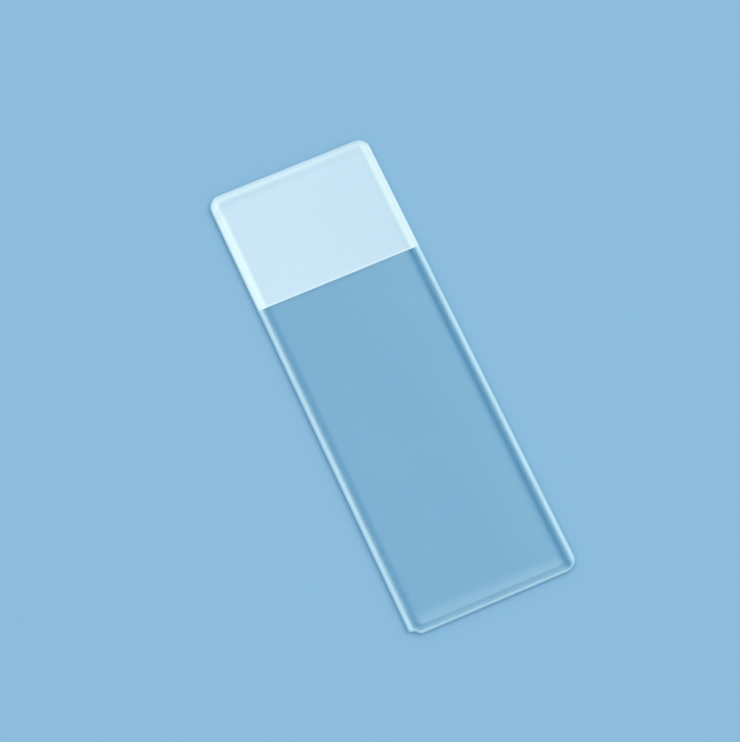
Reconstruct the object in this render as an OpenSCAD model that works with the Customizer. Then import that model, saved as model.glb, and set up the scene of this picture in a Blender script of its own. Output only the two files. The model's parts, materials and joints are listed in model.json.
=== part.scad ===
// Microscope slide: one sheet of clear glass with round-ground edges, clipped corners and a
// frosted writing area at one end.
//
// Millimetres. +X runs along the slide from the frosted end to the clear end, +Y runs across it and
// +Z is up, out of the frosted face. The origin is the centre of the face that the slide lies on.

/* [Glass] */
// Length of the slide
slide_length = 76; // [60:0.5:100]
// Width of the slide
slide_width = 26; // [20:0.5:60]
// Thickness of the glass
glass_thickness = 1; // [0.8:0.05:1.6]

/* [Corners and edges] */
// Length that each clipped corner takes off both of its sides
corner_clip = 1.5; // [0.5:0.1:5]
// How far the rounded edge stands out beyond the flat faces
edge_bulge = 0.35; // [0.05:0.05:0.35]

/* [Frosted end] */
// Length of the frosted area, from the end of the slide
frost_length = 20; // [10:0.5:35]
// Depth of the glass skin that the frosting takes away
frost_depth = 0.02; // [0.01:0.005:0.05]

/* [Hidden] */
$fn = 96;

// Radius of the arc that stands out by edge_bulge and spans the whole thickness
edge_r = (pow(edge_bulge, 2) + pow(glass_thickness / 2, 2)) / (2 * edge_bulge);
// Distance between two opposite corner clips, measured square to them
clip_span = (slide_length + slide_width - 2 * corner_clip) / sqrt(2);
// Long enough for a bar to pass right through the slide in any direction
reach = 2 * (slide_length + slide_width);

// A long bar with a rounded edge along both sides. Its span is turned by an angle from +X, and it is
// taller than the glass between the arcs, so that it shapes the edges only.
module edge_bar(span, turn) {
    rotate([0, 0, turn])
        translate([0, 0, glass_thickness / 2])
            rotate([90, 0, 0])
                linear_extrude(height = reach, center = true) {
                    square([span - 2 * edge_r, 4 * edge_r], center = true);
                    for (side = [-1, 1])
                        translate([side * (span / 2 - edge_r), 0])
                            circle(r = edge_r);
                }
}

// The sheet is a flat slab, cut to shape by a bar along it, one across it and two over its corners
module glass_sheet() {
    intersection() {
        translate([-slide_length, -slide_width, 0])
            cube([2 * slide_length, 2 * slide_width, glass_thickness]);
        edge_bar(slide_length, 0);
        edge_bar(slide_width, 90);
        edge_bar(clip_span, 45);
        edge_bar(clip_span, -45);
    }
}

// The skin of glass that the frosting takes off the upper face
module frosted_skin() {
    translate([-slide_length, -slide_width, glass_thickness - frost_depth])
        cube([slide_length / 2 + frost_length, 2 * slide_width, glass_thickness]);
}

module slide() {
    color([0.80, 0.90, 0.94, 0.55])
        difference() {
            glass_sheet();
            frosted_skin();
        }
}

slide();
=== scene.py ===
import json
import math

import bpy
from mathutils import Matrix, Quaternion, Vector


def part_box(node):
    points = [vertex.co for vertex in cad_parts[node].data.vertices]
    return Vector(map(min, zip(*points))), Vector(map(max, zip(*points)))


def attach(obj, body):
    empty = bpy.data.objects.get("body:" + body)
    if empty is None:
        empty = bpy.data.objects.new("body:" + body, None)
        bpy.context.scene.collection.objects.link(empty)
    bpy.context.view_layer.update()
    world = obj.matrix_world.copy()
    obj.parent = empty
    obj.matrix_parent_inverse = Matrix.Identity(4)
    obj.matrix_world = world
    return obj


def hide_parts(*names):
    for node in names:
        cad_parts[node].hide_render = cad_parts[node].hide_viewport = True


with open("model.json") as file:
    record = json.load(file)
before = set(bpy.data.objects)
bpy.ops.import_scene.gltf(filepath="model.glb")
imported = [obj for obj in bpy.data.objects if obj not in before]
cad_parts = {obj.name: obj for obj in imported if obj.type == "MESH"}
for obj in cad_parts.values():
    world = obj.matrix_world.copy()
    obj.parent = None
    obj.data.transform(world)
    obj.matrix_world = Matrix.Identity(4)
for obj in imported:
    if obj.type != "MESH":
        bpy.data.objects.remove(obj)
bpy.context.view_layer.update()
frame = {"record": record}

MM = 0.001

# ---------------------------------------------------------------- the slide's sizes, in metres
low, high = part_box("slide")
slide_length = high.x - low.x
slide_width = high.y - low.y
glass_thickness = high.z - low.z
writing_face = next(Vector(m["pos_m"]) for m in frame["record"]["mounts"] if m["name"] == "writing_face")
frost_overrun = 0.33 * MM   # how far the frosting runs past its nominal line
frost_end = 2 * writing_face.x - low.x + frost_overrun      # the mount is at the frosted end's middle
frosted_face = writing_face.z

tooth_clip = 1.5 * MM       # the clip that left a little square tooth of glass
corners = (                 # towards which end and which side, the clip, and the rounding at its ends
    (-1, -1, 1.2 * MM, 1.3 * MM),
    (-1, 1, 1.1 * MM, 1.5 * MM),
    (1, 1, 1.15 * MM, 1.6 * MM),
    (1, -1, tooth_clip, 0.5 * MM),
)
edge_bulge = 0.35 * MM      # how far a rounded edge stands out beyond the flat faces
edge_rings = 9              # rings of faces from the middle of the edge to each flat face
frost_slope = 0.02 * MM     # the width of the little slope down to the frosted face
smooth_below = math.radians(14)     # two faces that meet at less than this are shaded as one
tooth_from_end = 0.8 * MM
tooth_tip = Vector((slide_length / 2 - tooth_from_end, -slide_width / 2, 0))
tooth_radius = 0.4 * MM
hair = 0.004 * MM           # how thick the blank is before its edges are ground


# ---------------------------------------------------------------- modelling by hand
def deselect_everything():
    bpy.ops.object.select_all(action="DESELECT")


def pick(piece, kind, wanted):
    """In edit mode: selects the vertices, edges or faces for which wanted(element) is true."""
    bpy.ops.mesh.select_mode(type=kind)
    bpy.ops.mesh.select_all(action="DESELECT")
    bpy.ops.object.mode_set(mode="OBJECT")
    mesh = piece.data
    elements = {"VERT": mesh.vertices, "EDGE": mesh.edges, "FACE": mesh.polygons}[kind]
    for element in elements:
        element.select = wanted(element)
    bpy.ops.object.mode_set(mode="EDIT")


def pick_upright_edges(piece, wanted):
    """Selects the upright edges that stand at a wanted place."""
    def stands_up(edge):
        start, end = (piece.data.vertices[i].co for i in edge.vertices)
        return abs((end - start).normalized().z) > 0.99 and wanted(start)
    pick(piece, "EDGE", stands_up)


def is_at_corner(place, toward_x, toward_y):
    return place.x * toward_x > 0 and place.y * toward_y > 0


def is_by_tooth(place):
    """True from the tooth's long side to where it meets the clip, but not at the clip's other end."""
    return place.x > 0 and place.y < tooth_clip - slide_width / 2 - hair


def leave_tooth(piece):
    """Splits the clip that has a tooth, and draws the part next to the long side out to the tooth's tip."""
    def is_on_clip(face):
        return face.normal.x > 0.5 and face.normal.y < -0.5
    pick(piece, "FACE", is_on_clip)
    bpy.ops.mesh.bisect(plane_co=tooth_tip, plane_no=(1, 0, 0))
    pick(piece, "FACE", lambda face: is_on_clip(face) and face.center.x < tooth_tip.x)
    bpy.ops.mesh.extrude_region_move()
    bpy.ops.transform.resize(value=(0, 0, 1), center_override=tooth_tip)
    bpy.ops.mesh.select_all(action="SELECT")
    bpy.ops.mesh.remove_doubles(threshold=hair / 2)


def clip_and_round_corners(piece):
    for toward_x, toward_y, clip, _ in corners:
        pick_upright_edges(piece, lambda place: is_at_corner(place, toward_x, toward_y))
        bpy.ops.mesh.bevel(offset=clip, segments=1, affect="EDGES")
    leave_tooth(piece)
    half_turn_at_clip = math.radians(22.5)
    for toward_x, toward_y, _, radius in corners:
        pick_upright_edges(
            piece,
            lambda place: is_at_corner(place, toward_x, toward_y) and not is_by_tooth(place),
        )
        bpy.ops.mesh.bevel(offset=radius * math.tan(half_turn_at_clip), segments=6, affect="EDGES")
    pick_upright_edges(piece, lambda place: (place - tooth_tip).xy.length < hair)
    bpy.ops.mesh.bevel(offset=tooth_radius, segments=4, affect="EDGES")


def grind_rounded_edge(piece, facing):
    """Insets one flat side again and again, along the arc that the ground edge has in section."""
    half_thickness = (glass_thickness - hair) / 2
    radius = (edge_bulge ** 2 + half_thickness ** 2) / (2 * edge_bulge)
    last_angle = math.asin(half_thickness / radius)
    pick(piece, "FACE", lambda face: face.normal.z * facing > 0.99)
    for ring in range(edge_rings):
        before = last_angle * ring / edge_rings
        after = last_angle * (ring + 1) / edge_rings
        bpy.ops.mesh.inset(
            thickness=radius * (math.cos(before) - math.cos(after)),
            depth=radius * (math.sin(after) - math.sin(before)),
            use_even_offset=True,
        )


def sink_frosted_face(piece):
    """Cuts across the slide where the frosted end starts, and presses what is above its face down to it."""
    slope_foot = frost_end - frost_slope
    for place in (frost_end, slope_foot):
        bpy.ops.mesh.select_all(action="SELECT")
        bpy.ops.mesh.bisect(plane_co=(place, 0, 0), plane_no=(1, 0, 0))
    pick(piece, "FACE", lambda face: face.center.x < slope_foot)
    bpy.ops.mesh.bisect(plane_co=(0, 0, frosted_face), plane_no=(0, 0, 1))
    middle_of_slope = frost_end - frost_slope / 2
    pick(piece, "VERT", lambda point: point.co.x < middle_of_slope and point.co.z > frosted_face)
    bpy.ops.transform.resize(value=(1, 1, 0), center_override=(0, 0, frosted_face))


def make_slide():
    """A blank as thick as a hair at mid height, its corners clipped, and its edges ground up and down."""
    deselect_everything()
    bpy.ops.mesh.primitive_cube_add(size=1, location=(0, 0, glass_thickness / 2))
    piece = bpy.context.object
    piece.name = "glass_slide"
    bpy.ops.object.mode_set(mode="EDIT")
    bpy.ops.transform.resize(value=(slide_length, slide_width, hair))
    clip_and_round_corners(piece)
    grind_rounded_edge(piece, 1)
    grind_rounded_edge(piece, -1)
    bpy.ops.object.mode_set(mode="OBJECT")
    bpy.ops.object.transform_apply(location=True, rotation=True, scale=True)
    bpy.ops.object.mode_set(mode="EDIT")
    sink_frosted_face(piece)
    bpy.ops.object.mode_set(mode="OBJECT")
    bpy.ops.object.shade_smooth_by_angle(angle=smooth_below)
    return piece


slide = make_slide()


# ---------------------------------------------------------------- shader sums
class Value:
    """One output of a shader node, which takes part in Python sums."""

    def __init__(self, tree, node, output=0):
        self.tree = tree
        self.node = node
        self.socket = node.outputs[output] if node.outputs else None

    def part(self, output):
        return Value(self.tree, self.node, output)

    def _maths(self, operation, *values):
        return self.tree.node("ShaderNodeMath", {"operation": operation}, dict(enumerate(values)))

    def __add__(self, other):
        return self._maths("ADD", self, other)

    def __sub__(self, other):
        return self._maths("SUBTRACT", self, other)

    def __rsub__(self, other):
        return self._maths("SUBTRACT", other, self)

    def __mul__(self, other):
        return self._maths("MULTIPLY", self, other)

    __radd__ = __add__
    __rmul__ = __mul__

    def __abs__(self):
        return self._maths("ABSOLUTE", self)

    def most(self, other):
        return self._maths("MAXIMUM", self, other)

    def rounded_least(self, other, reach):
        """The smaller one, and a little less where the two are within reach of each other."""
        return self._maths("SMOOTH_MIN", self, other, reach)

    def fade(self, start, end):
        """0 at start and before, 1 at end and beyond, and smooth between them."""
        return self.tree.node(
            "ShaderNodeMapRange",
            {"interpolation_type": "SMOOTHSTEP"},
            {"Value": self, "From Min": start, "From Max": end},
        )

    def band(self, start, rise_end, fall_start, end):
        """0 up to start, 1 from rise_end to fall_start, and 0 again from end on."""
        return self.fade(start, rise_end) * self.fade(end, fall_start)


class Shader:
    """The node tree of one material, or of the world."""

    def __init__(self, owner):
        owner.use_nodes = True
        self.nodes = owner.node_tree.nodes
        self.links = owner.node_tree.links
        self.nodes.clear()

    def node(self, kind, settings=None, inputs=None):
        made = self.nodes.new(kind)
        for name, setting in (settings or {}).items():
            setattr(made, name, setting)
        for name, value in (inputs or {}).items():
            if isinstance(value, Value):
                self.links.new(value.socket, made.inputs[name])
            else:
                made.inputs[name].default_value = value
        return Value(self, made)

    def place(self, kind="Object"):
        coordinates = self.node("ShaderNodeTexCoord").part(kind)
        axes = self.node("ShaderNodeSeparateXYZ", inputs={0: coordinates})
        return coordinates, axes.part("X"), axes.part("Y"), axes.part("Z")

    def noise(self, place, grain):
        """Noise from 0 to 1 whose lumps are about a grain across."""
        return self.node("ShaderNodeTexNoise", inputs={"Vector": place, "Scale": 1 / grain})

    def blend(self, factor, first, second):
        return self.node(
            "ShaderNodeMix", {"data_type": "RGBA"}, {"Factor": factor, 6: first, 7: second}
        ).part(2)


# ---------------------------------------------------------------- the glass
GLASS_IOR = 1.52
CLEAR_GLASS = (0.89, 0.961, 0.978, 1)
PAINTED_SHADE_GLASS = (0.632, 0.838, 0.915, 1)       # painted shade: a darker, bluer glass in a band near the long sides, deepest on the right
FROST = (0.663, 0.848, 0.945, 1)
FROST_PAINTED_GLOW = (0.795, 0.99, 1.0, 1)           # painted light: a whiter glow along the rim of the frosted end
FROST_END = (0.59, 0.83, 0.945, 1)          # where that end rounds down
GROUND_EDGE = (0.57, 0.86, 1.0, 1)
PAINTED_LIGHT_MARGIN = (0.2, 0.68, 1.0, 1)         # painted light: a bluer matt that lightens the shade ring the glass casts where the grinding runs out over the face, most on the right
GROUND_END = (0.51, 0.76, 0.86, 1)

# how much of the clear glass each finish and each painted band hides, where 1 is all of it
FROST_HIDES = 0.84
PAINTED_GLOW_HIDES_MORE = 0.11
SIDE_RIM_HIDES = 0.93
CLEAR_END_RIM_HIDES = 0.9
CLEAR_END_PAINTED_VEIL_HIDES = 0.2
FROSTED_END_RIM_HIDES = 0.85
END_PAINTED_LIGHT_HIDES = 0.175
SIDE_PAINTED_LIGHT_HIDES = 0.04
PATCHES_HIDE = 0.012


class Surface:
    """Where a point of the slide is, in millimetres, and the noise that varies over the slide.

    The functions below read it. The distances in them are millimetres from the slide's outline.
    """

    def __init__(self, tree):
        place, x, y, z = tree.place()
        self.x, self.y, self.z = (axis * (1 / MM) for axis in (x, y, z))
        half_length = slide_length / 2 / MM
        half_width = slide_width / 2 / MM
        clip = 0
        for toward_x, toward_y, size, _ in corners:
            at_corner = (self.x * toward_x).fade(-1, 1) * (self.y * toward_y).fade(-1, 1)
            clip = at_corner * (size / MM) + clip
        to_end = half_length - abs(self.x)
        to_clip = (half_length + half_width - clip - abs(self.x) - abs(self.y)) * math.sqrt(0.5)
        self.from_side = half_width - abs(self.y)
        self.from_end = to_end.rounded_least(to_clip, 0.64)     # an end's own line, or its corners'
        self.off_side = (self.from_side - self.from_end).fade(0.3, 1.3)     # 0 round a clip, 1 along an end
        self.before_clear = frost_end / MM - self.x

        mid_height = glass_thickness / 2 / MM
        self.upper_half = self.z.fade(mid_height - 0.05, mid_height + 0.05)
        self.right_half = self.y.fade(-5, 5)
        self.seen_from_inside = tree.node("ShaderNodeNewGeometry").part("Backfacing")

        self.fine_grain = tree.noise(place, 0.05 * MM)
        self.mottle = tree.noise(place, 1.2 * MM)
        self.cloud = tree.noise(place, 9 * MM)


def painted_frost_glow(at):
    """Painted light: the frosting whiter towards its rim, broad along its sides with a painted dark line
    along the arris, faint along its ends and at the frosting's edge.
    """
    side_painted_glow = at.from_side.fade(1.75, 1.05) - at.from_side.band(0.45, 0.6, 0.6, 0.75) * 0.5
    end_painted_glow = at.from_end.band(0.0, 0.9, 0.9, 1.6) * 0.5
    last_painted_glow = at.before_clear.fade(0.5, 0.15) * 0.5
    return side_painted_glow.most(end_painted_glow).most(last_painted_glow)


def frost_cover(at, painted_glow):
    """How much of the clear glass the frosting hides: less to the right and just inside the glow along the
    ends, which paints shade there.
    """
    # painted shade: thinner frosting, darker and bluer, to the right and in a band just inside the ends
    painted_shade_thinning = (at.y.fade(-6, 11) * 0.06).most(at.from_end.band(1.2, 1.8, 1.9, 2.9) * 0.1)
    grain = (at.mottle - 0.5) * 0.05 + (at.fine_grain - 0.5) * 0.12
    # where the painted glow lies, the frosting hides more of the clear glass
    cover = FROST_HIDES - painted_shade_thinning + painted_glow * PAINTED_GLOW_HIDES_MORE + grain
    return cover * (1 - at.seen_from_inside * 0.75)


def ground_cover(at):
    """How much of it the ground edges hide, which run out over the flat faces, and the matt of the painted
    light further in on the right and just inside the clear end.
    """
    # painted light: on the right's upper face the matt reaches further in
    side_rim_starts = 1.22 + at.right_half * at.upper_half * 0.36
    side_rim = at.from_side.fade(side_rim_starts, 0.25) * SIDE_RIM_HIDES
    end_rim = at.from_end.fade(0.42, 0.12) * CLEAR_END_RIM_HIDES
    # painted light: a faint matt veil just inside the clear end's rim, over the shade the glass casts there
    clear_end_painted_veil = at.from_end.fade(0.85, 0.55) * at.upper_half * CLEAR_END_PAINTED_VEIL_HIDES
    frosted_end_rim = at.from_end.fade(0.5, 0.3) * at.x.fade(0, -1) * FROSTED_END_RIM_HIDES
    grain = (at.cloud - 0.5) * 0.25 + (at.fine_grain - 0.5) * 0.2
    return side_rim.most(end_rim).most(clear_end_painted_veil).most(frosted_end_rim) * (0.94 + grain)


def haze_and_painted_light_cover(at):
    """A faint haze on the upper face in patches, and painted light: lighter bands along the clear end and
    the right side.
    """
    # painted light: lighter matt bands along the clear end and the right side
    end_painted_light_band = at.from_end.band(0.82, 1.35, 1.4, 3.4) * at.from_side.fade(1.3, 2.6) * END_PAINTED_LIGHT_HIDES
    side_painted_light_band = at.y.fade(2, 10.5) * at.from_side.fade(1.4, 2.4) * SIDE_PAINTED_LIGHT_HIDES
    patches = at.cloud.fade(0.45, 0.75) * PATCHES_HIDE + (at.mottle - 0.5) * 0.01
    return (patches + end_painted_light_band.most(side_painted_light_band)) * at.upper_half * (1 - at.seen_from_inside)


def make_glass():
    material = bpy.data.materials.new("slide_glass")
    tree = Shader(material)
    at = Surface(tree)

    ragged = (at.fine_grain - 0.5) * 0.03
    frosted = (at.before_clear - ragged).fade(-0.01, 0.01) * at.upper_half
    painted_glow = painted_frost_glow(at)
    ground = ground_cover(at)
    cover = (frosted * frost_cover(at, painted_glow)).most(ground).most(haze_and_painted_light_cover(at))

    # painted shade: the clear glass darkens in a band 0.9 to 2.4 mm in from each long side, more on the
    # right
    painted_side_shade = at.from_side.band(0.9, 1.45, 1.5, 2.4) * (0.62 + 0.38 * at.right_half)
    clear = tree.node("ShaderNodeBsdfPrincipled", inputs={
        "Base Color": tree.blend(painted_side_shade, CLEAR_GLASS, PAINTED_SHADE_GLASS),
        "Roughness": (frosted * 0.45).most(ground * 0.37),
        "IOR": GLASS_IOR,
        "Transmission Weight": 1.0,
    })

    # painted light: the matt turns bluer just inside the rims, most on the right, over the shade the glass
    # casts there
    painted_light_margin = at.from_side.band(0.45, 1.25, 1.5, 1.8) * (0.25 + 0.75 * at.right_half)
    ground_colour = tree.blend(painted_light_margin, GROUND_EDGE, PAINTED_LIGHT_MARGIN)
    on_end = at.from_end.fade(0.9, 0.5) * at.off_side
    ground_colour = tree.blend(on_end, ground_colour, GROUND_END)
    # painted light: the frosting's colour whitens in that glow towards the rim
    frost_colour = tree.blend(painted_glow, FROST, FROST_PAINTED_GLOW)
    frost_colour = tree.blend(at.from_end.fade(1.0, 0.3), frost_colour, FROST_END)
    frost_bump = tree.node("ShaderNodeBump", inputs={
        "Strength": 0.35, "Distance": 0.01 * MM, "Height": at.fine_grain + at.mottle * 0.5,
    })
    matt = tree.node("ShaderNodeBsdfPrincipled", inputs={
        "Base Color": tree.blend(frosted, ground_colour, frost_colour),
        "Roughness": 0.65,
        "IOR": GLASS_IOR,
        "Normal": frost_bump,
    })
    surface = tree.node("ShaderNodeMixShader", inputs={0: cover, 1: clear, 2: matt})
    tree.node("ShaderNodeOutputMaterial", inputs={"Surface": surface})
    return material


slide.data.materials.append(make_glass())
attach(slide, "root")
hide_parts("slide")


# ---------------------------------------------------------------- floor, world and lamps
PAPER = (0.264, 0.489, 0.674, 1)
LIT_PAPER = (0.268, 0.503, 0.702, 1)    # as the floor shows it under the lamps
WALL_GLOW = 0.675                       # the grey of the room above the horizon, where 1 is white
CEILING_GLOW = 0.42                     # and overhead
paper_width = 6
paper_gap = 0.1 * MM                    # keeps the paper's face and the slide's under face apart


def make_floor():
    """Plain blue paper under the slide and up to the horizon."""
    deselect_everything()
    bpy.ops.mesh.primitive_plane_add(size=paper_width, location=(0, 0, -paper_gap))
    floor = bpy.context.object
    floor.name = "floor"
    material = bpy.data.materials.new("blue_paper")
    tree = Shader(material)
    paper = tree.node("ShaderNodeBsdfPrincipled", inputs={
        "Base Color": PAPER, "Roughness": 1.0, "Specular IOR Level": 0.0,
    })
    tree.node("ShaderNodeOutputMaterial", inputs={"Surface": paper})
    floor.data.materials.append(material)


make_floor()


def sine(degrees):
    return math.sin(math.radians(degrees))


def make_world():
    """A room in the paper's colour up to eye level, light grey above that, and a darker grey overhead."""
    world = bpy.data.worlds.new("studio")
    bpy.context.scene.world = world
    tree = Shader(world)
    *_, z = tree.place("Generated")
    walls = z.fade(sine(14), sine(26))      # the degrees above the floor where they begin and are full
    ceiling = z.fade(sine(58), sine(66))
    colour = tree.blend(walls, LIT_PAPER, (WALL_GLOW, WALL_GLOW, WALL_GLOW, 1))
    colour = tree.blend(ceiling, colour, (CEILING_GLOW, CEILING_GLOW, CEILING_GLOW, 1))
    glow = tree.node("ShaderNodeBackground", inputs={"Color": colour, "Strength": 1.0})
    tree.node("ShaderNodeOutputWorld", inputs={"Surface": glow})


make_world()


def direction(bearing, height):
    """Towards a point so many degrees round from +X and so many above the floor."""
    level = math.cos(math.radians(height))
    return Vector((
        math.cos(math.radians(bearing)) * level,
        math.sin(math.radians(bearing)) * level,
        math.sin(math.radians(height)),
    ))


def add_softbox(name, bearing, height, spread, light_on_floor):
    """A far lamp as wide as a softbox, whose light on the floor alone is a share of what makes white."""
    lamp = bpy.data.lights.new(name, "SUN")
    lamp.angle = math.radians(spread)
    lamp.energy = light_on_floor * math.pi / sine(height)
    softbox = bpy.data.objects.new(name, lamp)
    bpy.context.scene.collection.objects.link(softbox)
    softbox.rotation_mode = "QUATERNION"
    softbox.rotation_quaternion = direction(bearing, height).to_track_quat("Z", "Y")


add_softbox("right_softbox", bearing=90, height=60, spread=44, light_on_floor=0.24)
add_softbox("left_softbox", bearing=-90, height=68, spread=36, light_on_floor=0.10)
add_softbox("end_softbox", bearing=0, height=58, spread=40, light_on_floor=0.10)


# ---------------------------------------------------------------- camera
def make_camera():
    """A long lens that looks down at the slide from beyond its clear end."""
    lens = bpy.data.cameras.new("camera")
    lens.lens = 154.88
    lens.sensor_width = 36
    camera = bpy.data.objects.new("camera", lens)
    bpy.context.scene.collection.objects.link(camera)
    back = direction(bearing=-19.126, height=65.674)
    distance = 465.6 * MM
    target = Vector((-1.973 * MM, -1.912 * MM, glass_thickness))
    roll = Quaternion(back, math.radians(-4.92))
    camera.location = target + back * distance
    camera.rotation_mode = "QUATERNION"
    camera.rotation_quaternion = roll @ (-back).to_track_quat("-Z", "Y")
    bpy.context.scene.camera = camera


make_camera()
bpy.context.scene.view_settings.view_transform = "Standard"
bpy.context.scene.cycles.blur_glossy = 0.0      # the light that reaches the paper through the glass is kept
